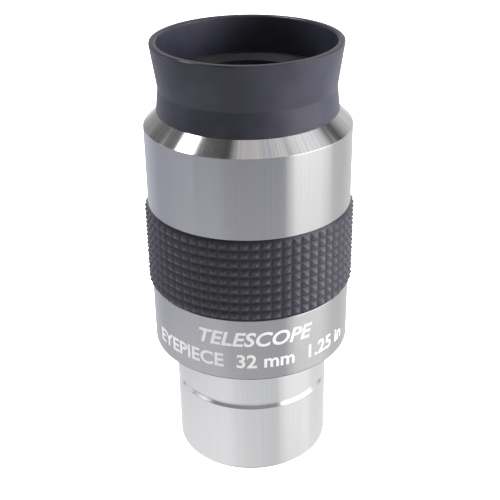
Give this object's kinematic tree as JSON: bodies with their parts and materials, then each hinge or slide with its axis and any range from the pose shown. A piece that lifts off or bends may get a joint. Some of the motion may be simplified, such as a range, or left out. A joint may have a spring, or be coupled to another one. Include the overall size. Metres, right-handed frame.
{
  "type": "telescope eyepiece",
  "caption": "Telescope eyepiece with a chromed push-in barrel, a satin metal housing with a studded rubber grip, cemented doublets and a fold-down rubber eyecup.",
  "frame": {"origin": "on the optical axis, in the plane of the barrel's mouth, which is the lowest face of the standing eyepiece", "axes": "+Z along the optical axis from the telescope towards the eye; X and Y are across it"},
  "size_m": [0.0418, 0.0416, 0.0879],
  "materials": {
    "satin_metal": "fine turned satin with a polished bevel",
    "chrome": "bright chrome with fine turning lines",
    "black_metal": "matt black anodised",
    "grip_rubber": "matt moulded",
    "eyecup_rubber": "smooth soft satin",
    "coated_glass": "polished with an anti-reflection coating"
  },
  "bodies": {
    "eyepiece": {"housing": "satin_metal", "grip_sleeve": "grip_rubber", "nosepiece": "chrome", "eyecup_collar": "eyecup_rubber", "eyecup_skirt": "eyecup_rubber", "lens_cell": "black_metal", "field_lens_retainer": "black_metal", "cell_lock_ring": "black_metal", "lens_spacer": "black_metal", "field_stop": "black_metal", "eye_lens_flint": "coated_glass", "eye_lens_crown": "coated_glass", "field_lens_crown": "coated_glass", "field_lens_flint": "coated_glass"},
    "eyecup_rim": {"eyecup_lip": "eyecup_rubber"}
  },
  "joints": [
    {"name": "eyecup_fold", "type": "slide", "parent": "eyepiece", "child": "eyecup_rim", "axis": [0, 0, 1], "range_m": [-0.00675, 0], "deforming": ["eyecup_skirt"]}
  ]
}
